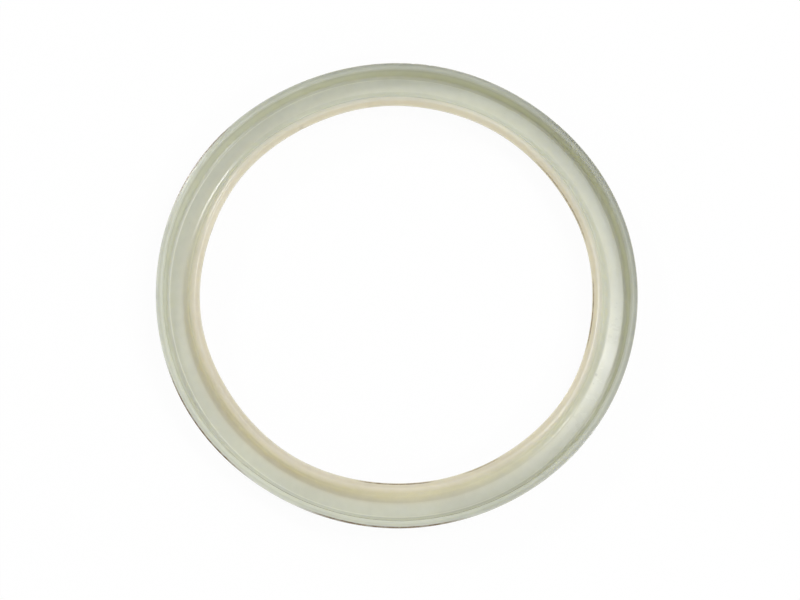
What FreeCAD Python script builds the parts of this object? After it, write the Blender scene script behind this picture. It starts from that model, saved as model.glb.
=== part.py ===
"""Lip seal: one moulded elastomer ring with two sealing lips and a pressure groove between them.

Millimetres. The seal's axis is Z and the origin is the centre of the flat heel face, so the ring
lies on its heel at z = 0 with both lips and the open groove pointing up. The whole ring is one
section turned round the axis: heel, inner lip with a broad round crest that wipes the rod, thin
steep outer lip that seals in the housing groove, and between them a groove whose floor falls
towards a narrow ledge at the foot of the outer lip.
"""

import FreeCAD, Part
import Sketcher
import math
import os

FULL_TURN = 360.0
SAME_PLACE = 1e-4

# How a sketch numbers the ends of a line and its own horizontal axis, whose start is the root.
LINE_START, LINE_END, SKETCH_AXIS = 1, 2, -1

# alias, value in millimetres, what it is
SIZES = [
    ("rod_diameter", 110.0, "rod that runs through the seal"),
    ("section_depth", 10.0, "rod to the bottom of the housing groove, on the radius"),
    ("seal_height", 9.0, "heel face to the outer lip's crest, before rounding"),
    ("rod_side_gap", 0.8, "heel to rod, on the radius"),
    ("housing_side_gap", 0.2, "heel to housing, on the radius"),
    ("heel_chamfer", 0.6, "both corners of the heel face"),
    ("lip_root_height", 4.2, "where the side walls end and the lips begin to flare"),
    ("root_round", 1.0, "bend between side wall and flared lip"),
    ("rod_lip_squeeze", 1.2, "free inner lip inside the rod's surface, on the radius"),
    ("housing_lip_squeeze", 1.2, "free outer lip outside the housing's surface, on the radius"),
    ("contact_land", 0.5, "short straight wall below each sharp sealing edge"),
    ("outer_bevel_width", 1.75, "outer crest to the outer sealing edge, on the radius"),
    ("outer_bevel_drop", 0.6, "outer crest to the outer sealing edge, on the height"),
    ("outer_crest_round", 0.7, "outer lip's crest"),
    ("inner_edge_drop", 0.8, "inner sealing edge below the outer crest"),
    ("inner_bevel_width", 2.0, "inner crest to the inner sealing edge, on the radius"),
    ("inner_bevel_drop", 0.65, "inner crest to the inner sealing edge, on the height"),
    ("inner_crest_round", 1.8, "inner lip's broad crest"),
    ("groove_depth", 4.7, "outer crest to the deepest line of the groove"),
    ("outer_lip_lean", 1.25, "outer crest to the foot of the lip's groove wall, on the radius"),
    ("inner_lip_lean", 1.8, "inner crest to the foot of the lip's slope, on the radius"),
    ("ledge_width", 0.9, "deepest line of the groove to the foot of the outer lip"),
    ("ledge_rise", 0.4, "ledge's rise towards the outer lip"),
    ("lip_foot_round", 0.8, "hollow between the ledge and the outer lip"),
    ("floor_rise", 1.0, "groove floor's rise towards the inner lip"),
    ("groove_round", 2.0, "hollow between the floor and the inner lip's slope"),
]

# Radius of each straight wall and lip, from the rod and the housing that the seal works between.
BORE_WALL = "Sizes.rod_diameter / 2 + Sizes.rod_side_gap"
HOUSING = "Sizes.rod_diameter / 2 + Sizes.section_depth"
SIDE_WALL = HOUSING + " - Sizes.housing_side_gap"
INNER_EDGE = "Sizes.rod_diameter / 2 - Sizes.rod_lip_squeeze"
OUTER_EDGE = HOUSING + " + Sizes.housing_lip_squeeze"
INNER_CREST = INNER_EDGE + " + Sizes.inner_bevel_width"
OUTER_CREST = OUTER_EDGE + " - Sizes.outer_bevel_width"
LIP_FOOT = OUTER_CREST + " - Sizes.outer_lip_lean"
GROOVE_BOTTOM = LIP_FOOT + " - Sizes.ledge_width"
INNER_FOOT = INNER_CREST + " + Sizes.inner_lip_lean"

# Heights above the heel face.
GROUND = "0"
OUTER_EDGE_TOP = "Sizes.seal_height - Sizes.outer_bevel_drop"
INNER_EDGE_TOP = "Sizes.seal_height - Sizes.inner_edge_drop"
INNER_CREST_TOP = INNER_EDGE_TOP + " + Sizes.inner_bevel_drop"
GROOVE_BOTTOM_TOP = "Sizes.seal_height - Sizes.groove_depth"
LIP_FOOT_TOP = GROOVE_BOTTOM_TOP + " + Sizes.ledge_rise"
INNER_FOOT_TOP = GROOVE_BOTTOM_TOP + " + Sizes.floor_rise"

# Corners of the section, going round it once: radius and height of each.
SECTION = {
    "HeelInner": (BORE_WALL, GROUND),
    "HeelOuter": (SIDE_WALL, GROUND),
    "OuterRoot": (SIDE_WALL, "Sizes.lip_root_height"),
    "OuterLandFoot": (OUTER_EDGE, OUTER_EDGE_TOP + " - Sizes.contact_land"),
    "OuterEdge": (OUTER_EDGE, OUTER_EDGE_TOP),
    "OuterCrest": (OUTER_CREST, "Sizes.seal_height"),
    "LipFoot": (LIP_FOOT, LIP_FOOT_TOP),
    "GrooveBottom": (GROOVE_BOTTOM, GROOVE_BOTTOM_TOP),
    "InnerFoot": (INNER_FOOT, INNER_FOOT_TOP),
    "InnerCrest": (INNER_CREST, INNER_CREST_TOP),
    "InnerEdge": (INNER_EDGE, INNER_EDGE_TOP),
    "InnerLandFoot": (INNER_EDGE, INNER_EDGE_TOP + " - Sizes.contact_land"),
    "InnerRoot": (BORE_WALL, "Sizes.lip_root_height"),
}

# Rounded corners of the section and the size of each round.
ROUNDS = {
    "OuterCrest": "outer_crest_round",
    "InnerCrest": "inner_crest_round",
    "InnerFoot": "groove_round",
    "LipFoot": "lip_foot_round",
    "OuterRoot": "root_round",
    "InnerRoot": "root_round",
}
HEEL_CORNERS = ["HeelInner", "HeelOuter"]


def make_sheet(doc):
    """The driving dimensions, one to a row: words in column A, the aliased number in column B."""
    sheet = doc.addObject("Spreadsheet::Sheet", "Sizes")
    for row, (alias, value, words) in enumerate(SIZES, start=1):
        sheet.set(f"A{row}", words)
        sheet.set(f"B{row}", str(value))
        sheet.setAlias(f"B{row}", alias)
    doc.recompute()
    return sheet


def millimetres(sheet, size):
    """What an expression on the sheet comes to."""
    return float(sheet.evalExpression(size.replace("Sizes.", "")))


def corner_place(sheet, name):
    """Radius and height of a corner of the section, before rounding."""
    return [millimetres(sheet, size) for size in SECTION[name]]


def origin_plane(body, role):
    """One of the body's own origin planes."""
    return next(plane for plane in body.Origin.OriginFeatures if plane.Role == role)


def draw_section(body, sheet):
    """The ring's section in the XZ plane: a closed outline with every corner placed by the sheet."""
    sketch = body.newObject("Sketcher::SketchObject", "SealSection")
    sketch.AttachmentSupport = [(origin_plane(body, "XZ_Plane"), "")]
    sketch.MapMode = "FlatFace"
    corners = [FreeCAD.Vector(*corner_place(sheet, name), 0) for name in SECTION]
    for here, after in zip(corners, corners[1:] + corners[:1]):
        sketch.addGeometry(Part.LineSegment(here, after), False)
    for side in range(len(corners)):
        after = (side + 1) % len(corners)
        joined = Sketcher.Constraint("Coincident", side, LINE_END, after, LINE_START)
        sketch.addConstraint(joined)
    for side, (name, (radius, height)) in enumerate(SECTION.items()):
        spot = side
        if name in ROUNDS:
            spot = round_corner(sketch, sheet, corners, side, name)
        place_corner(sketch, "DistanceX", name + "Radius", spot, corners[side].x, radius)
        if height == GROUND:
            on_ground = Sketcher.Constraint("PointOnObject", spot, LINE_START, SKETCH_AXIS)
            sketch.addConstraint(on_ground)
        else:
            place_corner(sketch, "DistanceY", name + "Height", spot, corners[side].y, height)
    return sketch


def round_corner(sketch, sheet, corners, side, name):
    """Rounds the corner where a side starts, and gives the point that still marks it."""
    before = (side - 1) % len(corners)
    after = (side + 1) % len(corners)
    size = "Sizes." + ROUNDS[name]
    on_before = (corners[before] + corners[side]) / 2
    on_side = (corners[side] + corners[after]) / 2
    sketch.fillet(before, side, on_before, on_side, millimetres(sheet, size), True, True)
    corner_point = sketch.GeometryCount - 1
    arc = corner_point - 1
    limit = Sketcher.Constraint("Radius", arc, millimetres(sheet, size))
    sketch.renameConstraint(sketch.addConstraint(limit), name + "Round")
    sketch.setExpression(f"Constraints.{name}Round", size)
    return corner_point


def place_corner(sketch, kind, name, spot, distance, size):
    """Ties a corner of the outline to the sketch's root by a size from the sheet."""
    tie = Sketcher.Constraint(kind, SKETCH_AXIS, LINE_START, spot, LINE_START, distance)
    sketch.renameConstraint(sketch.addConstraint(tie), name)
    sketch.setExpression("Constraints." + name, size)


def turn_section(body, sketch):
    """The solid ring: the section turned once round the seal's axis."""
    ring = body.newObject("PartDesign::Revolution", "Ring")
    ring.Profile = sketch
    ring.ReferenceAxis = (sketch, ["V_Axis"])
    ring.Angle = FULL_TURN
    body.Tip = ring


def circles_at(solid, places):
    """Names of the full circles round the seal's axis that pass through the given corners."""
    found = []
    for number, edge in enumerate(solid.Edges, start=1):
        if not isinstance(edge.Curve, Part.Circle):
            continue
        if abs(edge.Length - 2 * math.pi * edge.Curve.Radius) > SAME_PLACE:
            continue
        for radius, height in places:
            off = abs(edge.Curve.Radius - radius) + abs(edge.Curve.Center.z - height)
            if off < SAME_PLACE:
                found.append(f"Edge{number}")
    if len(found) != len(places):
        raise RuntimeError(f"{len(places)} circles wanted, found {found}")
    return found


def chamfer_heel(body, sheet):
    """Breaks both corners of the heel face."""
    body.Document.recompute()
    ring = body.Tip
    places = [corner_place(sheet, corner) for corner in HEEL_CORNERS]
    feature = body.newObject("PartDesign::Chamfer", "HeelChamfers")
    feature.Base = (ring, circles_at(ring.Shape, places))
    feature.setExpression("Size", "Sizes.heel_chamfer")
    body.Tip = feature


def make_seal(doc, sheet):
    """The seal ring, whole: its section, turned, with the heel's corners broken."""
    body = doc.addObject("PartDesign::Body", "SealRing")
    body.Label = "seal_ring"
    sketch = draw_section(body, sheet)
    turn_section(body, sketch)
    chamfer_heel(body, sheet)
    body.Placement = FreeCAD.Placement()
    return body


def check(doc, bodies):
    """Stops if any object failed to recompute or a sub-part is not one valid solid."""
    for item in doc.Objects:
        if "Invalid" in item.State or "Error" in item.State:
            raise RuntimeError(f"{item.Name} failed: {item.State}")
    for body in bodies:
        if body.Shape.isNull() or not body.Shape.isValid() or len(body.Shape.Solids) != 1:
            raise RuntimeError(f"{body.Label} is not one valid solid")


def main():
    """Builds the document and writes each sub-part."""
    doc = FreeCAD.newDocument("LipSeal")
    sheet = make_sheet(doc)
    bodies = [make_seal(doc, sheet)]
    doc.recompute()
    check(doc, bodies)
    os.makedirs("parts", exist_ok=True)
    for body in bodies:
        body.Shape.exportStep(f"parts/{body.Label}.step")
        print(body.Label, "volume", round(body.Shape.Volume, 1), "mm3")


main()
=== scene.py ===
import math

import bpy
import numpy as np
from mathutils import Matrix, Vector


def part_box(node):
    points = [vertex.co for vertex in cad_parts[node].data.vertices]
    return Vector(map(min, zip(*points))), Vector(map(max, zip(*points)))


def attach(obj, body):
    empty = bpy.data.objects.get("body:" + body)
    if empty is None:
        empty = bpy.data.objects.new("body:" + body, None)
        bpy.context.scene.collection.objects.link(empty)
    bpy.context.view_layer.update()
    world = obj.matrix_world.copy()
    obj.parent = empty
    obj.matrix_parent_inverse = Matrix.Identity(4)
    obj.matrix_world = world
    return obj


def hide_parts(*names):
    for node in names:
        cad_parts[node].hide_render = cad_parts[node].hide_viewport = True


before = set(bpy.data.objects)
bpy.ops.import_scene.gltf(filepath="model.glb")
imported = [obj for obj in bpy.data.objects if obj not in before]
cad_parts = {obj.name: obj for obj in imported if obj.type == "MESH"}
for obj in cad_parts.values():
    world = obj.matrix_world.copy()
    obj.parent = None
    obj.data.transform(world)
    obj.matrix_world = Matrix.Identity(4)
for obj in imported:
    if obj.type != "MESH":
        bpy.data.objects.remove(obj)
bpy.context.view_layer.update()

# A lip seal lying on its heel: one moulded elastomer ring, cream to grey-green and a little
# translucent. Its inner lip has a broad round crest, its outer lip is thin and steep, and the groove
# between them falls to a narrow ledge at the outer lip's foot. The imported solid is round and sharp.
# The ring made here replaces it: nearly the same section with softer corners, carried round a path
# that is slightly out of round, with soft waves and small nicks in the lips.

MM = 0.001
FULL_TURN = 2 * math.pi

# Sizes of the section in millimetres, as the solid has them.
SEAL_HEIGHT = 9.0
LIP_SPAN = 12.4
INNER_LIP_PROUD = 2.0
OUTER_LIP_PROUD = 1.4
HEEL_CHAMFER = 0.6
LIP_ROOT_HEIGHT = 4.2
ROOT_ROUND = 1.0
CONTACT_LAND = 0.5
OUTER_BEVEL_WIDTH = 1.75
OUTER_BEVEL_DROP = 0.6
INNER_EDGE_DROP = 0.8
GROOVE_DEPTH = 4.7
LIP_FOOT_INSET = 3.0
LIP_FOOT_ROUND = 0.8
FLOOR_RISE = 1.0

# Sizes that differ from the solid's, so that each highlight lies as in the photograph. The soft
# shoulder beside the inner crest isn't in the solid at all.
OUTER_CREST_ROUND = 0.6
INNER_BEVEL_WIDTH = 1.6
INNER_BEVEL_DROP = 0.6
INNER_CREST_ROUND = 0.85
SHOULDER_INSET = 2.7
SHOULDER_RISE = 0.11
SHOULDER_ROUND = 1.6
INNER_FOOT_INSET = 3.55
GROOVE_ROUND = 2.3
LEDGE_WIDTH = 0.88
LEDGE_RISE = 0.34

# What moulding leaves on the corners that the solid keeps sharp.
SEALING_EDGE_SOFTNESS = 0.12
GROOVE_BOTTOM_SOFTNESS = 0.55
LAND_FOOT_SOFTNESS = 0.3
HEEL_SOFTNESS = 0.15

# Places in the section, from the frame's own outer edge inwards.
OUTER_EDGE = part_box("seal_ring")[1].x / MM
INNER_EDGE = OUTER_EDGE - LIP_SPAN
OUTER_WALL = OUTER_EDGE - OUTER_LIP_PROUD
INNER_WALL = INNER_EDGE + INNER_LIP_PROUD
OUTER_CREST = OUTER_EDGE - OUTER_BEVEL_WIDTH
INNER_CREST = INNER_EDGE + INNER_BEVEL_WIDTH
INNER_SHOULDER = INNER_EDGE + SHOULDER_INSET
LIP_FOOT = OUTER_EDGE - LIP_FOOT_INSET
GROOVE_BOTTOM = LIP_FOOT - LEDGE_WIDTH
INNER_FOOT = INNER_EDGE + INNER_FOOT_INSET
GROOVE_MIDDLE = (GROOVE_BOTTOM + INNER_FOOT) / 2

# Heights above the heel face.
OUTER_EDGE_TOP = SEAL_HEIGHT - OUTER_BEVEL_DROP
INNER_EDGE_TOP = SEAL_HEIGHT - INNER_EDGE_DROP
INNER_CREST_TOP = INNER_EDGE_TOP + INNER_BEVEL_DROP
SHOULDER_TOP = INNER_EDGE_TOP + SHOULDER_RISE
GROOVE_BOTTOM_TOP = SEAL_HEIGHT - GROOVE_DEPTH
LIP_FOOT_TOP = GROOVE_BOTTOM_TOP + LEDGE_RISE
INNER_FOOT_TOP = GROOVE_BOTTOM_TOP + FLOOR_RISE

# The section's corners, once round it: radius, height and round of each.
SECTION = {
    "heel_inner": (INNER_WALL + HEEL_CHAMFER, 0.0, HEEL_SOFTNESS),
    "heel_outer": (OUTER_WALL - HEEL_CHAMFER, 0.0, HEEL_SOFTNESS),
    "outer_chamfer": (OUTER_WALL, HEEL_CHAMFER, HEEL_SOFTNESS),
    "outer_root": (OUTER_WALL, LIP_ROOT_HEIGHT, ROOT_ROUND),
    "outer_land_foot": (OUTER_EDGE, OUTER_EDGE_TOP - CONTACT_LAND, LAND_FOOT_SOFTNESS),
    "outer_edge": (OUTER_EDGE, OUTER_EDGE_TOP, SEALING_EDGE_SOFTNESS),
    "outer_crest": (OUTER_CREST, SEAL_HEIGHT, OUTER_CREST_ROUND),
    "lip_foot": (LIP_FOOT, LIP_FOOT_TOP, LIP_FOOT_ROUND),
    "groove_bottom": (GROOVE_BOTTOM, GROOVE_BOTTOM_TOP, GROOVE_BOTTOM_SOFTNESS),
    "inner_foot": (INNER_FOOT, INNER_FOOT_TOP, GROOVE_ROUND),
    "inner_shoulder": (INNER_SHOULDER, SHOULDER_TOP, SHOULDER_ROUND),
    "inner_crest": (INNER_CREST, INNER_CREST_TOP, INNER_CREST_ROUND),
    "inner_edge": (INNER_EDGE, INNER_EDGE_TOP, SEALING_EDGE_SOFTNESS),
    "inner_land_foot": (INNER_EDGE, INNER_EDGE_TOP - CONTACT_LAND, LAND_FOOT_SOFTNESS),
    "inner_root": (INNER_WALL, LIP_ROOT_HEIGHT, ROOT_ROUND),
    "inner_chamfer": (INNER_WALL, HEEL_CHAMFER, HEEL_SOFTNESS),
}

# How the soft ring lies: out of round by so many millimetres on the radius, longest at that bearing.
OUT_OF_ROUND = 0.41
LONG_AXIS = math.radians(-15.0)

# Soft waves in each lip's tip: waves in a turn, height in millimetres, bearing of a crest.
INNER_LIP_WAVES = [
    (3, 0.106, -34.0),
    (4, 0.107, -29.0),
    (5, 0.034, 26.0),
    (6, 0.076, 14.0),
    (7, 0.061, -20.0),
    (8, 0.100, 11.0),
    (9, 0.035, 17.5),
]
OUTER_LIP_WAVES = [
    (0, -0.12, 0.0),
    (2, 0.095, -9.0),
    (5, 0.083, 3.6),
    (6, 0.100, 25.5),
]

# Small dents in the lips: bearing, radius, height, reach and push along the radius, in degrees and
# millimetres. Across the lip they are narrower than round the ring.
NICKS = [
    (119.5, INNER_EDGE, INNER_EDGE_TOP, 0.75, 0.30),
    (86.0, OUTER_EDGE, OUTER_EDGE_TOP, 0.45, -0.14),
    (82.0, OUTER_EDGE, OUTER_EDGE_TOP, 0.40, -0.12),
    (89.0, OUTER_EDGE, OUTER_EDGE_TOP, 0.35, -0.10),
    (255.0, OUTER_EDGE, OUTER_EDGE_TOP, 0.40, -0.10),
]

# How many times the square of a distance across the lip counts in a dent.
NICK_NARROWING = 2.5

# Painted shadow: thin brown lines along the sealing edges: bearing and half length of each, degrees,
# and its strength.
OUTER_EDGE_SHADOWS = [(-93.0, 23.0, 1.0), (-145.0, 19.0, 1.0), (146.0, 14.0, 0.9)]
INNER_EDGE_SHADOWS = [(-90.0, 13.0, 0.9), (-64.0, 7.0, 0.5), (-6.0, 13.0, 0.7), (30.0, 18.0, 0.6)]

# Points to a round and to a straight run, how far a run's points lie from its ends, at most that
# share of the run, and steps round the ring.
ARC_POINTS = 6
RUN_POINTS = 2
RUN_MARGIN = 0.14
LARGEST_MARGIN = 0.3
TURN_STEPS = 760

# Camera, from the photograph's perspective: lengths in metres, the picture in pixels, the sensor in
# millimetres.
PICTURE_WIDTH = 800
FOCAL_PIXELS = 5411.0
SENSOR_WIDTH = 36.0
CAMERA_DISTANCE = 1.5
CAMERA_TILT = math.radians(12.66)
CAMERA_SIDE = 0.00096
NEAREST_SEEN = 0.01
FARTHEST_SEEN = 20.0

# Lamps: bearing and elevation in degrees, distance and width in metres, watts.
LAMPS = {
    "main_lamp": (16.0, 66.0, 2.2, 0.62, 10.0),
    "main_softbox": (18.0, 60.0, 2.4, 2.40, 12.5),
    "left_lamp": (137.0, 34.0, 2.2, 0.50, 12.0),
    "right_lamp": (-27.0, 43.0, 2.2, 0.45, 8.0),
    "far_lamp": (70.0, 32.0, 2.2, 0.90, 3.5),
    "near_softbox": (-90.0, 40.0, 2.4, 2.00, 6.2),
    "low_softbox": (-135.0, 20.0, 2.4, 2.00, 9.0),
}
SKY_STRENGTH = 0.34
WHITE = (1.0, 1.0, 1.0, 1.0)

# The pale floor that the seal lies on: half its width in metres, how far it lies below the heel in
# millimetres, its colour, and how much of what is seen of it is plain white.
STAND_HALF_WIDTH = 3.0
STAND_GAP = 0.05
STAND_COLOR = (0.9, 0.9, 0.9, 1.0)
STAND_WHITENESS = 0.95


def linear(red, green, blue):
    """A screen colour of 0 to 255 a channel as the linear colour that a shader takes.

    This is the usual screen curve: a straight foot, and a power of 2.4 above it.
    """
    values = np.array([red, green, blue]) / 255.0
    dark = values / 12.92
    light = ((values + 0.055) / 1.055) ** 2.4
    return (*np.where(values <= 0.04045, dark, light), 1.0)


# The compound's tones, each twice: as painted shade for the darker side of the ring and as painted
# light for the paler side. The outer lip's tones also hold painted shade, and the floor's edge holds a
# painted highlight.
HEEL = linear(190, 192, 178), linear(198, 200, 186)
# Painted shade: the outer lip's side, the rim by its edge, its bevel, and the groove's wall and ledge
# beside it are darker than the floor, the rim darkest on the shaded side.
SHADED_LIP_SIDE = linear(160, 163, 152), linear(182, 185, 174)
SHADED_RIM = linear(135, 138, 131), linear(194, 197, 190)
SHADED_LIP = linear(156, 159, 148), linear(188, 191, 180)
SHADED_WALL_TOP = linear(172, 174, 160), linear(190, 193, 182)
SHADED_WALL = linear(182, 184, 159), linear(200, 203, 192)
SHADED_LEDGE = linear(188, 189, 169), linear(196, 198, 184)
# Painted highlight: a bright line along the groove's bottom, brightest on the pale side.
FLOOR_EDGE_HIGHLIGHT = linear(205, 207, 192), linear(220, 221, 207)
FLOOR = linear(199, 201, 188), linear(207, 208, 193)
FLOOR_INNER = linear(204, 205, 189), linear(210, 209, 193)
FOOT = linear(206, 208, 193), linear(200, 195, 170)
SLOPE = linear(211, 213, 202), linear(222, 216, 192)
SHOULDER = linear(201, 200, 188), linear(208, 201, 178)
CREST = linear(197, 194, 179), linear(204, 198, 181)
BEVEL = linear(199, 193, 174), linear(196, 190, 174)
# Painted shadow: the dark brown of the thin lines along both sealing edges.
EDGE_SHADOW_BROWN = linear(96, 76, 52)

# Where each tone lies: a corner of the section, how far past it, as a share of the whole outline,
# and the tone. Between two of them the tones run into each other.
BANDS = [
    ("heel_outer", 0.0, HEEL),
    ("outer_root", 0.0, SHADED_LIP_SIDE),
    ("outer_edge", 0.0, SHADED_LIP_SIDE),
    ("outer_edge", 0.004, SHADED_RIM),
    ("outer_edge", 0.010, SHADED_RIM),
    ("outer_edge", 0.022, SHADED_LIP),
    ("outer_crest", -0.004, SHADED_LIP),
    ("outer_crest", 0.016, SHADED_WALL_TOP),
    ("outer_crest", 0.044, SHADED_WALL),
    ("lip_foot", -0.016, SHADED_WALL),
    ("lip_foot", 0.0, SHADED_LEDGE),
    ("groove_bottom", -0.005, SHADED_LEDGE),
    ("groove_bottom", -0.001, FLOOR_EDGE_HIGHLIGHT),
    ("groove_bottom", 0.003, FLOOR_EDGE_HIGHLIGHT),
    ("groove_bottom", 0.007, FLOOR),
    ("groove_bottom", 0.042, FLOOR),
    ("inner_foot", -0.040, FLOOR_INNER),
    ("inner_foot", -0.017, FOOT),
    ("inner_foot", 0.020, SLOPE),
    ("inner_shoulder", -0.020, SLOPE),
    ("inner_shoulder", 0.005, SHOULDER),
    ("inner_crest", -0.004, CREST),
    ("inner_crest", 0.014, BEVEL),
    ("inner_land_foot", 0.0, BEVEL),
    ("inner_root", 0.0, HEEL),
]

# Painted light and shade round the ring: the outer half of the section turns paler round one bearing
# and darker on the far side, and the inner half turns warm round another, as painted warm light and
# shade.
# The change lies before the inner foot, between these shares of the outline.
LIT_SIDE_BEARING = math.radians(-140.0)
WARM_LIGHT_BEARING = math.radians(-122.0)
WARM_CHANGE = (-0.060, -0.020)

# Noise: cells in a millimetre, or in a unit of the ring's outward direction, and the part of its
# range that is stretched.
CLOUD_CELLS = 0.06
FINE_CLOUD_CELLS = 0.45
GRAIN_CELLS = 1.6
STREAK_CELLS = 13.0
PATCH_CELLS = 30.0
NOISE_RANGE = (0.3, 0.7)
PATCH_RANGE = (0.35, 0.6)
MOTTLE_RANGE = (0.6, 1.0)

# How much the clouds change the colour, the painted shadow lines' faintest patches, how much darker a
# nick is, and the part of a mark's reach that is evenly strong.
CLOUD_TONES = (0.97, 1.03)
FINE_CLOUD_TONES = (0.985, 1.015)
FAINTEST_PATCH = 0.65
NICK_DARKENING = 0.18
MARK_CORE = 0.4

# The brown lines of painted shadow in the section: beside which corner, how far past it and half how
# wide, as shares of the outline.
SHADOW_LINE_PLACES = [("outer_edge", 0.001, 0.010), ("inner_edge", -0.0075, 0.006)]

# Small specks: bearing, radius, height and reach, in degrees and millimetres, and how bright the
# colour is there, where 1 is unchanged.
SPECKS = [
    (-22.0, 59.3, 4.9, 0.55, 0.80),
    (-24.5, 59.6, 4.9, 0.30, 0.88),
    (101.0, 65.3, 8.7, 0.22, 0.60),
    (-94.0, 65.9, 8.5, 0.25, 1.18),
    (160.0, 61.0, 4.6, 0.20, 0.85),
    (60.0, 60.3, 4.7, 0.16, 0.80),
]

# The groove's floor fades in past the groove's bottom and out before the inner foot, in shares of
# the outline. The glossy patch on it lies at one bearing, and fades between these limits of how
# squarely the ring faces that way.
FLOOR_START = (0.002, 0.010)
FLOOR_END = (-0.035, -0.018)
GLOSS_BEARING = math.radians(-23.0)
GLOSS_LIMITS = (0.86, 0.98)

# Roughness: of the plain surface, what the floor adds, and what the glossy patch takes away, mottled
# by the streaks and so much of the fine clouds. The outer crest is rougher too, fading between
# these shares of the outline on either side of it.
PLAIN_ROUGHNESS = (0.17, 0.22)
FLOOR_ROUGHER = 0.14
GLOSS_SMOOTHER = (-0.11, -0.04)
MOTTLE_CLOUDS = 0.6
CREST_ROUGHER = 0.20
CREST_LIMITS = (0.006, 0.022)

# Relief: how strongly it shows, and its height in millimetres.
COMBED_STRENGTH = 0.25
GRAIN_STRENGTH = 0.07
RELIEF_HEIGHT = 0.1

# Light in the compound: how deep it goes in millimetres, what part of that each colour goes, and
# how much it bends.
LIGHT_DEPTH = 4.0
COLOR_DEPTHS = (1.0, 0.95, 0.70)
REFRACTION = 1.5


def outline():
    """The section as one closed line of points, and how far along it each corner lies.

    At a corner c with unit directions u and v to its neighbours and half angle h between them, a
    round of size r touches the sides r / tan(h) from c and has its centre r / sin(h) along u + v.
    Each arc turns evenly from one touching point to the other. Each straight run gets a point
    close to either end, which keeps the flat faces flat under smooth shading.
    """
    corners = np.array([(radius, height) for radius, height, _ in SECTION.values()])
    rounds = np.array([size for _, _, size in SECTION.values()])[:, None]
    to_last = np.roll(corners, 1, axis=0) - corners
    to_next = np.roll(corners, -1, axis=0) - corners
    to_last /= np.linalg.norm(to_last, axis=1, keepdims=True)
    to_next /= np.linalg.norm(to_next, axis=1, keepdims=True)
    between = np.arccos(np.sum(to_last * to_next, axis=1, keepdims=True))
    middle = to_last + to_next
    middle /= np.linalg.norm(middle, axis=1, keepdims=True)
    centres = corners + middle * rounds / np.sin(between / 2)
    reach = rounds / np.tan(between / 2)
    starts = corners + to_last * reach
    ends = corners + to_next * reach

    turn = (math.pi - between)[:, :, None]
    steps = np.linspace(0, 1, ARC_POINTS)[None, :, None]
    from_start = (starts - centres)[:, None, :] * np.sin((1 - steps) * turn) / np.sin(turn)
    from_end = (ends - centres)[:, None, :] * np.sin(steps * turn) / np.sin(turn)
    arcs = centres[:, None, :] + from_start + from_end

    run = np.roll(starts, -1, axis=0) - ends
    length = np.linalg.norm(run, axis=1, keepdims=True)
    margin = np.minimum(RUN_MARGIN / length, LARGEST_MARGIN)[:, :, None]
    places = np.concatenate([margin, 1 - margin], axis=1)
    runs = ends[:, None, :] + run[:, None, :] * places

    line = np.concatenate([arcs, runs], axis=1).reshape(-1, 2)
    gaps = np.linalg.norm(np.roll(line, -1, axis=0) - line, axis=1)
    along = np.concatenate([[0.0], np.cumsum(gaps)])
    share = along / along[-1]
    by_corner = share[:-1].reshape(-1, ARC_POINTS + RUN_POINTS)
    marks = (by_corner[:, 0] + by_corner[:, ARC_POINTS - 1]) / 2
    return line, share, dict(zip(SECTION, marks))


def ease(value):
    """Smooth rise from 0 to 1 as the value goes from 0 to 1."""
    value = np.clip(value, 0, 1)
    return value * value * (3 - 2 * value)


def turned_from(bearing, degrees):
    """The angle from a bearing given in degrees, the short way round."""
    return np.angle(np.exp(1j * (bearing - math.radians(degrees))))


def waves(bearing, parts):
    """Sum of cosines round the ring, each with its own count, height and crest."""
    return sum(size * np.cos(count * (bearing - math.radians(crest))) for count, size, crest in parts)


def shadow_line_strength(bearing, lines):
    """How strong a painted shadow line is at each bearing: full in its middle half, fading to both
    ends.
    """
    strength = np.zeros_like(bearing)
    for where, half_length, most in lines:
        away = np.abs(turned_from(bearing, where)) / math.radians(half_length)
        strength = np.maximum(strength, most * ease(2 - 2 * away))
    return strength


def ring_surface(line):
    """Places of the ring's points, one row for each bearing and one column for each outline point.

    The outline is carried round a full turn. Its radius grows and shrinks twice in a turn, all of
    it together, because the soft ring lies slightly out of round. Each lip's own waves grow from
    nothing at its root to their full height at its tip. A nick pushes the surface along the
    radius by a bell-shaped amount round its place. With the places come two values for each
    point: how far into a nick it lies, and how strong a painted shadow line is there.
    """
    bearing = np.linspace(0, FULL_TURN, TURN_STEPS, endpoint=False)[:, None]
    radius, height = line[None, :, 0], line[None, :, 1]
    lip = ease((height - LIP_ROOT_HEIGHT) / (SEAL_HEIGHT - LIP_ROOT_HEIGHT))
    outer_side = radius > GROOVE_MIDDLE
    inner_side = radius <= GROOVE_MIDDLE
    offset = OUT_OF_ROUND * np.cos(2 * (bearing - LONG_AXIS))
    offset = offset + lip * outer_side * waves(bearing, OUTER_LIP_WAVES)
    offset = offset + lip * inner_side * waves(bearing, INNER_LIP_WAVES)

    nicked = np.zeros((TURN_STEPS, line.shape[0]))
    for where, place, level, reach, push in NICKS:
        across = (radius - place) ** 2 + (height - level) ** 2
        away = (turned_from(bearing, where) * place) ** 2 + NICK_NARROWING * across
        bell = np.exp(-away / reach ** 2)
        offset = offset + push * bell
        nicked = np.maximum(nicked, bell)

    # Painted shadow: how strong the thin line along each sealing edge is at each point.
    outer_shadow_line = shadow_line_strength(bearing, OUTER_EDGE_SHADOWS) * outer_side
    inner_shadow_line = shadow_line_strength(bearing, INNER_EDGE_SHADOWS) * inner_side

    radius = (radius + offset) * MM
    height = np.broadcast_to(height * MM, radius.shape)
    points = np.stack([radius * np.cos(bearing), radius * np.sin(bearing), height], axis=-1)
    return points, nicked, outer_shadow_line + inner_shadow_line


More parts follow.
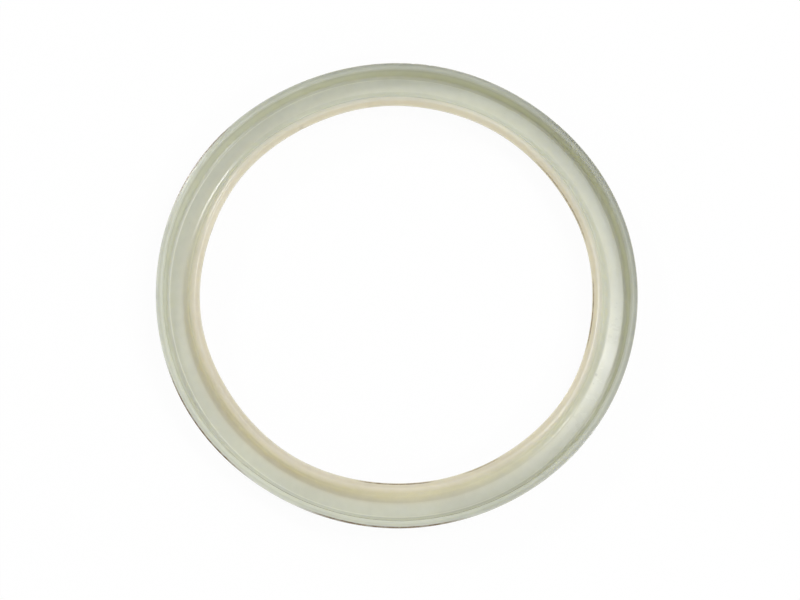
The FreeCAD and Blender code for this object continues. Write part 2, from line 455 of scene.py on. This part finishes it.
def grid_faces(rows, columns):
    """Corners of the faces of a grid that closes on itself both ways, turned to face outwards."""
    row, column = np.meshgrid(np.arange(rows), np.arange(columns), indexing="ij")
    next_row, next_column = (row + 1) % rows, (column + 1) % columns
    corners = [(row, column), (next_row, column), (next_row, next_column), (row, next_column)]
    return np.stack([r * columns + c for r, c in corners], axis=-1).reshape(-1, 4)


def unrolled_map(rows, share):
    """The map of the ring's faces: how far round the ring, and how far along the outline."""
    row, column = np.meshgrid(np.arange(rows), np.arange(len(share) - 1), indexing="ij")
    here, after = share[column], share[column + 1]
    round_share = np.stack([row, row + 1, row + 1, row], axis=-1) / rows
    along_share = np.stack([here, here, after, after], axis=-1)
    return np.stack([round_share, along_share], axis=-1)


def make_ring():
    """The seal as one closed surface, with its unrolled map, its nicks and its painted shadow lines.
    """
    line, share, marks = outline()
    points, nicked, brown = ring_surface(line)
    rows, columns = points.shape[:2]
    mesh = bpy.data.meshes.new("moulded_ring")
    mesh.from_pydata(points.reshape(-1, 3), [], grid_faces(rows, columns))
    unrolled = mesh.uv_layers.new(name="Unrolled")
    unrolled.data.foreach_set("uv", unrolled_map(rows, share).ravel())
    # How far into a nick each point lies, and how strong the painted shadow line is there.
    for name, values in {"in_nick": nicked, "painted_edge_shadow": brown}.items():
        attribute = mesh.attributes.new(name, "FLOAT", "POINT")
        attribute.data.foreach_set("value", values.ravel())

    mesh.shade_smooth()
    mesh.update()
    ring = bpy.data.objects.new("moulded_ring", mesh)
    bpy.context.scene.collection.objects.link(ring)
    return ring, marks


class Nodes:
    """Short words for laying out the nodes of one material or of the world."""

    def __init__(self, owner):
        """Starts the owner's nodes afresh."""
        owner.use_nodes = True
        self.tree = owner.node_tree
        self.tree.nodes.clear()

    def add(self, kind, **inputs):
        """A node of that kind, with named settings and inputs; an input may be another's output."""
        made = self.tree.nodes.new("ShaderNode" + kind)
        for name, value in inputs.items():
            label = name.replace("_", " ")
            if label in made.inputs:
                self.feed(made.inputs[label], value)
            else:
                setattr(made, name, value)
        return made

    def feed(self, socket, value):
        """Sets a socket to a value or links an output to it."""
        if isinstance(value, bpy.types.NodeSocket):
            self.tree.links.new(value, socket)
        else:
            socket.default_value = value

    def feed_all(self, sockets, values):
        """Sets or links several sockets, in their order."""
        for socket, value in zip(sockets, values):
            self.feed(socket, value)

    def math(self, operation, *values):
        """One arithmetic step."""
        made = self.add("Math", operation=operation)
        self.feed_all(made.inputs, values)
        return made.outputs["Value"]

    def vector(self, operation, *values):
        """One step of vector arithmetic that gives a vector."""
        made = self.add("VectorMath", operation=operation)
        self.feed_all(made.inputs, values)
        return made.outputs["Vector"]

    def measure(self, operation, *values):
        """One step of vector arithmetic that gives a number."""
        made = self.add("VectorMath", operation=operation)
        self.feed_all(made.inputs, values)
        return made.outputs["Value"]

    def scale(self, place, amount):
        """A place or colour times one number."""
        made = self.add("VectorMath", operation="SCALE", Scale=amount)
        self.feed(made.inputs[0], place)
        return made.outputs["Vector"]

    def noise(self, place, scale, detail=2.0, roughness=0.5):
        """Cloudy noise of 0 to 1 at that many cells in a unit of the place."""
        made = self.add("TexNoise", Vector=place, Scale=scale, Detail=detail, Roughness=roughness)
        return made.outputs["Fac"]

    def spread(self, value, limits, to_low=0.0, to_high=1.0):
        """The value's range between two limits, stretched smoothly to a new range."""
        made = self.add("MapRange", interpolation_type="SMOOTHSTEP")
        sockets = [made.inputs[name] for name in ("Value", "From Min", "From Max", "To Min", "To Max")]
        self.feed_all(sockets, [value, *limits, to_low, to_high])
        return made.outputs["Result"]

    def blend(self, share, first, second):
        """Two colours mixed: the first where the share is 0, the second where it is 1."""
        made = self.add("Mix", data_type="RGBA", blend_type="MIX")
        share_socket = made.inputs[0]
        color_sockets = [socket for socket in made.inputs if socket.type == "RGBA"]
        self.feed_all([share_socket, *color_sockets], [share, first, second])
        return next(socket for socket in made.outputs if socket.type == "RGBA")

    def ramp(self, value, stops):
        """A colour ramp through (place, colour) stops."""
        made = self.add("ValToRGB", Fac=value)
        stops = sorted(stops)
        band = made.color_ramp
        band.elements[0].position, band.elements[0].color = stops[0]
        band.elements[1].position, band.elements[1].color = stops[-1]
        for position, color in stops[1:-1]:
            band.elements.new(position).color = color
        return made.outputs["Color"]

    def finish(self, kind, shader):
        """Makes the shader the owner's surface."""
        output = self.add(kind)
        self.feed(output.inputs["Surface"], shader.outputs[0])


def past(marks, corner, shares):
    """Places on the outline, given as shares of it past a corner."""
    return [marks[corner] + share for share in shares]


def facing(nodes, outward, bearing):
    """1 where the ring points that way from its axis, -1 on the far side."""
    return nodes.measure("DOT_PRODUCT", outward, (math.cos(bearing), math.sin(bearing), 0.0))


def side_share(nodes, outward, bearing):
    """1 on the ring's side of that bearing, falling to 0 on the far side."""
    return nodes.math("MULTIPLY_ADD", facing(nodes, outward, bearing), 0.5, 0.5)


def tones(nodes, along, outward, marks):
    """The compound's bands of colour, with painted shade on one side of the ring and painted light on
    the other, warm on the inner half.
    """
    stops = [(marks[corner] + past_it, tone) for corner, past_it, tone in BANDS]
    deep = nodes.ramp(along, [(spot, tone[0]) for spot, tone in stops])
    pale = nodes.ramp(along, [(spot, tone[1]) for spot, tone in stops])
    lit_side = side_share(nodes, outward, LIT_SIDE_BEARING)
    warm_lit_side = side_share(nodes, outward, WARM_LIGHT_BEARING)
    warm_lit_side = nodes.math("MULTIPLY", warm_lit_side, warm_lit_side)
    change = past(marks, "inner_foot", WARM_CHANGE)
    return nodes.blend(nodes.spread(along, change, lit_side, warm_lit_side), deep, pale)


def painted_edge_shadows(nodes, color, along, outward, marks):
    """The colour with thin brown lines of painted shadow beside both sealing edges, patchy along their
    length.
    """
    line = nodes.add("Attribute", attribute_name="painted_edge_shadow").outputs["Fac"]
    patches = nodes.noise(outward, PATCH_CELLS)
    patchy = nodes.spread(patches, PATCH_RANGE, FAINTEST_PATCH, 1.0)
    strength = nodes.math("MULTIPLY", line, patchy)
    for corner, past_it, half_width in SHADOW_LINE_PLACES:
        away = nodes.math("ABSOLUTE", nodes.math("SUBTRACT", along, marks[corner] + past_it))
        near = nodes.spread(away, (MARK_CORE * half_width, half_width), 1.0, 0.0)
        color = nodes.blend(nodes.math("MULTIPLY", strength, near), color, EDGE_SHADOW_BROWN)
    return color


def specks_and_nicks(nodes, color, place):
    """The colour with its few specks, and a little darker in the nicks."""
    for bearing, radius, height, reach, brightness in SPECKS:
        bearing = math.radians(bearing)
        centre = (radius * math.cos(bearing), radius * math.sin(bearing), height)
        away = nodes.measure("DISTANCE", place, centre)
        shade = nodes.spread(away, (MARK_CORE * reach, reach), brightness, 1.0)
        color = nodes.scale(color, shade)
    in_nick = nodes.add("Attribute", attribute_name="in_nick").outputs["Fac"]
    return nodes.scale(color, nodes.math("MULTIPLY_ADD", in_nick, -NICK_DARKENING, 1.0))


def elastomer(marks):
    """The seal's compound: a translucent cream that shades to grey-green, cloudy and fine-grained,
    with painted light and shade in its colour.

    The groove's floor is duller than the rest but for one glossy patch, mottled and combed across.
    The outer crest is duller too.
    """
    material = bpy.data.materials.new("cream_elastomer")
    nodes = Nodes(material)
    unrolled = nodes.add("UVMap", uv_map="Unrolled").outputs["UV"]
    along = nodes.add("SeparateXYZ", Vector=unrolled).outputs["Y"]
    place = nodes.scale(nodes.add("TexCoord").outputs["Object"], 1 / MM)
    outward = nodes.vector("NORMALIZE", nodes.vector("MULTIPLY", place, (1.0, 1.0, 0.0)))
    clouds = nodes.noise(place, CLOUD_CELLS, detail=3.0)
    fine_clouds = nodes.noise(place, FINE_CLOUD_CELLS)
    streaks = nodes.noise(outward, STREAK_CELLS, detail=4.0, roughness=0.6)
    grain = nodes.noise(place, GRAIN_CELLS, detail=3.0)

    # Painted light and shade: the tones are darker on one side of the ring and paler or warm on the
    # other.
    color = tones(nodes, along, outward, marks)
    color = nodes.scale(color, nodes.spread(clouds, NOISE_RANGE, *CLOUD_TONES))
    color = nodes.scale(color, nodes.spread(fine_clouds, NOISE_RANGE, *FINE_CLOUD_TONES))
    # Painted shadow: thin brown lines beside both sealing edges.
    color = painted_edge_shadows(nodes, color, along, outward, marks)
    color = specks_and_nicks(nodes, color, place)

    floor_start = nodes.spread(along, past(marks, "groove_bottom", FLOOR_START))
    floor_end = nodes.spread(along, past(marks, "inner_foot", FLOOR_END), 1.0, 0.0)
    on_floor = nodes.math("MULTIPLY", floor_start, floor_end)
    glossy_side = nodes.spread(facing(nodes, outward, GLOSS_BEARING), GLOSS_LIMITS)
    glossy = nodes.math("MULTIPLY", on_floor, glossy_side)
    mottled = nodes.math("ADD", streaks, nodes.math("MULTIPLY", fine_clouds, MOTTLE_CLOUDS))
    smoother = nodes.math("MULTIPLY", glossy, nodes.spread(mottled, MOTTLE_RANGE, *GLOSS_SMOOTHER))
    from_crest = nodes.math("ABSOLUTE", nodes.math("SUBTRACT", along, marks["outer_crest"]))
    rough = nodes.spread(clouds, NOISE_RANGE, *PLAIN_ROUGHNESS)
    rough = nodes.math("MULTIPLY_ADD", on_floor, FLOOR_ROUGHER, rough)
    rough = nodes.math("ADD", rough, smoother)
    rough = nodes.math("ADD", rough, nodes.spread(from_crest, CREST_LIMITS, CREST_ROUGHER, 0.0))

    combed = nodes.add("Bump", Strength=COMBED_STRENGTH, Distance=RELIEF_HEIGHT * MM,
                       Height=nodes.math("MULTIPLY", streaks, glossy))
    relief = nodes.add("Bump", Strength=GRAIN_STRENGTH, Distance=RELIEF_HEIGHT * MM, Height=grain,
                       Normal=combed.outputs["Normal"])

    shader = nodes.add("BsdfPrincipled", Base_Color=color, Roughness=rough,
                       Normal=relief.outputs["Normal"])
    shader.subsurface_method = "RANDOM_WALK"
    shader.inputs["Subsurface Weight"].default_value = 1.0
    shader.inputs["Subsurface Radius"].default_value = COLOR_DEPTHS
    shader.inputs["Subsurface Scale"].default_value = LIGHT_DEPTH * MM
    shader.inputs["IOR"].default_value = REFRACTION
    nodes.finish("OutputMaterial", shader)
    return material


def seen_directly(nodes):
    """1 for what the camera sees, straight or through gloss and clear parts, 0 for lighting."""
    path = nodes.add("LightPath")
    seen = nodes.math("MAXIMUM", path.outputs["Is Camera Ray"], path.outputs["Is Glossy Ray"])
    return nodes.math("MAXIMUM", seen, path.outputs["Is Transmission Ray"])


def make_floor():
    """A wide pale floor close under the heel that looks white and keeps a faint shadow."""
    half = STAND_HALF_WIDTH
    level = -STAND_GAP * MM
    mesh = bpy.data.meshes.new("pale_floor")
    corners = [(-half, -half, level), (half, -half, level), (half, half, level), (-half, half, level)]
    mesh.from_pydata(corners, [], [(0, 1, 2, 3)])
    floor = bpy.data.objects.new("pale_floor", mesh)
    bpy.context.scene.collection.objects.link(floor)

    material = bpy.data.materials.new("pale_floor")
    nodes = Nodes(material)
    matt = nodes.add("BsdfDiffuse", Color=STAND_COLOR)
    glow = nodes.add("Emission", Color=WHITE, Strength=1.0)
    mixed = nodes.add("MixShader")
    share = nodes.math("MULTIPLY", seen_directly(nodes), STAND_WHITENESS)
    nodes.feed_all(mixed.inputs, [share, matt.outputs[0], glow.outputs[0]])
    nodes.finish("OutputMaterial", mixed)
    mesh.materials.append(material)


def make_sky():
    """Soft even light from all round, plain white where it is seen."""
    world = bpy.data.worlds.new("soft_sky")
    nodes = Nodes(world)
    strength = nodes.math("MULTIPLY_ADD", seen_directly(nodes), 1.0 - SKY_STRENGTH, SKY_STRENGTH)
    background = nodes.add("Background", Color=WHITE, Strength=strength)
    nodes.finish("OutputWorld", background)
    bpy.context.scene.world = world


def make_lamps():
    """Round soft lamps that look at the middle of the seal."""
    for name, (bearing, elevation, distance, width, watts) in LAMPS.items():
        bearing, elevation = math.radians(bearing), math.radians(elevation)
        direction = Vector((math.cos(bearing) * math.cos(elevation),
                            math.sin(bearing) * math.cos(elevation),
                            math.sin(elevation)))
        light = bpy.data.lights.new(name, "AREA")
        light.shape = "DISK"
        light.size = width
        light.energy = watts
        lamp = bpy.data.objects.new(name, light)
        lamp.location = direction * distance
        lamp.rotation_euler = direction.to_track_quat("Z", "Y").to_euler()
        bpy.context.scene.collection.objects.link(lamp)


def make_camera():
    """The photograph's viewpoint: a long lens, in front of the seal and high above it."""
    data = bpy.data.cameras.new("camera")
    data.sensor_width = SENSOR_WIDTH
    data.lens = FOCAL_PIXELS / PICTURE_WIDTH * SENSOR_WIDTH
    data.clip_start = NEAREST_SEEN
    data.clip_end = FARTHEST_SEEN
    camera = bpy.data.objects.new("camera", data)
    camera.location = (CAMERA_SIDE, -CAMERA_DISTANCE * math.sin(CAMERA_TILT),
                       CAMERA_DISTANCE * math.cos(CAMERA_TILT))
    camera.rotation_euler = (CAMERA_TILT, 0.0, 0.0)
    bpy.context.scene.collection.objects.link(camera)
    bpy.context.scene.camera = camera


make_camera()
ring, corner_marks = make_ring()
ring.data.materials.append(elastomer(corner_marks))
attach(ring, "root")
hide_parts("seal_ring")
make_floor()
make_sky()
make_lamps()
bpy.context.scene.view_settings.view_transform = "Standard"
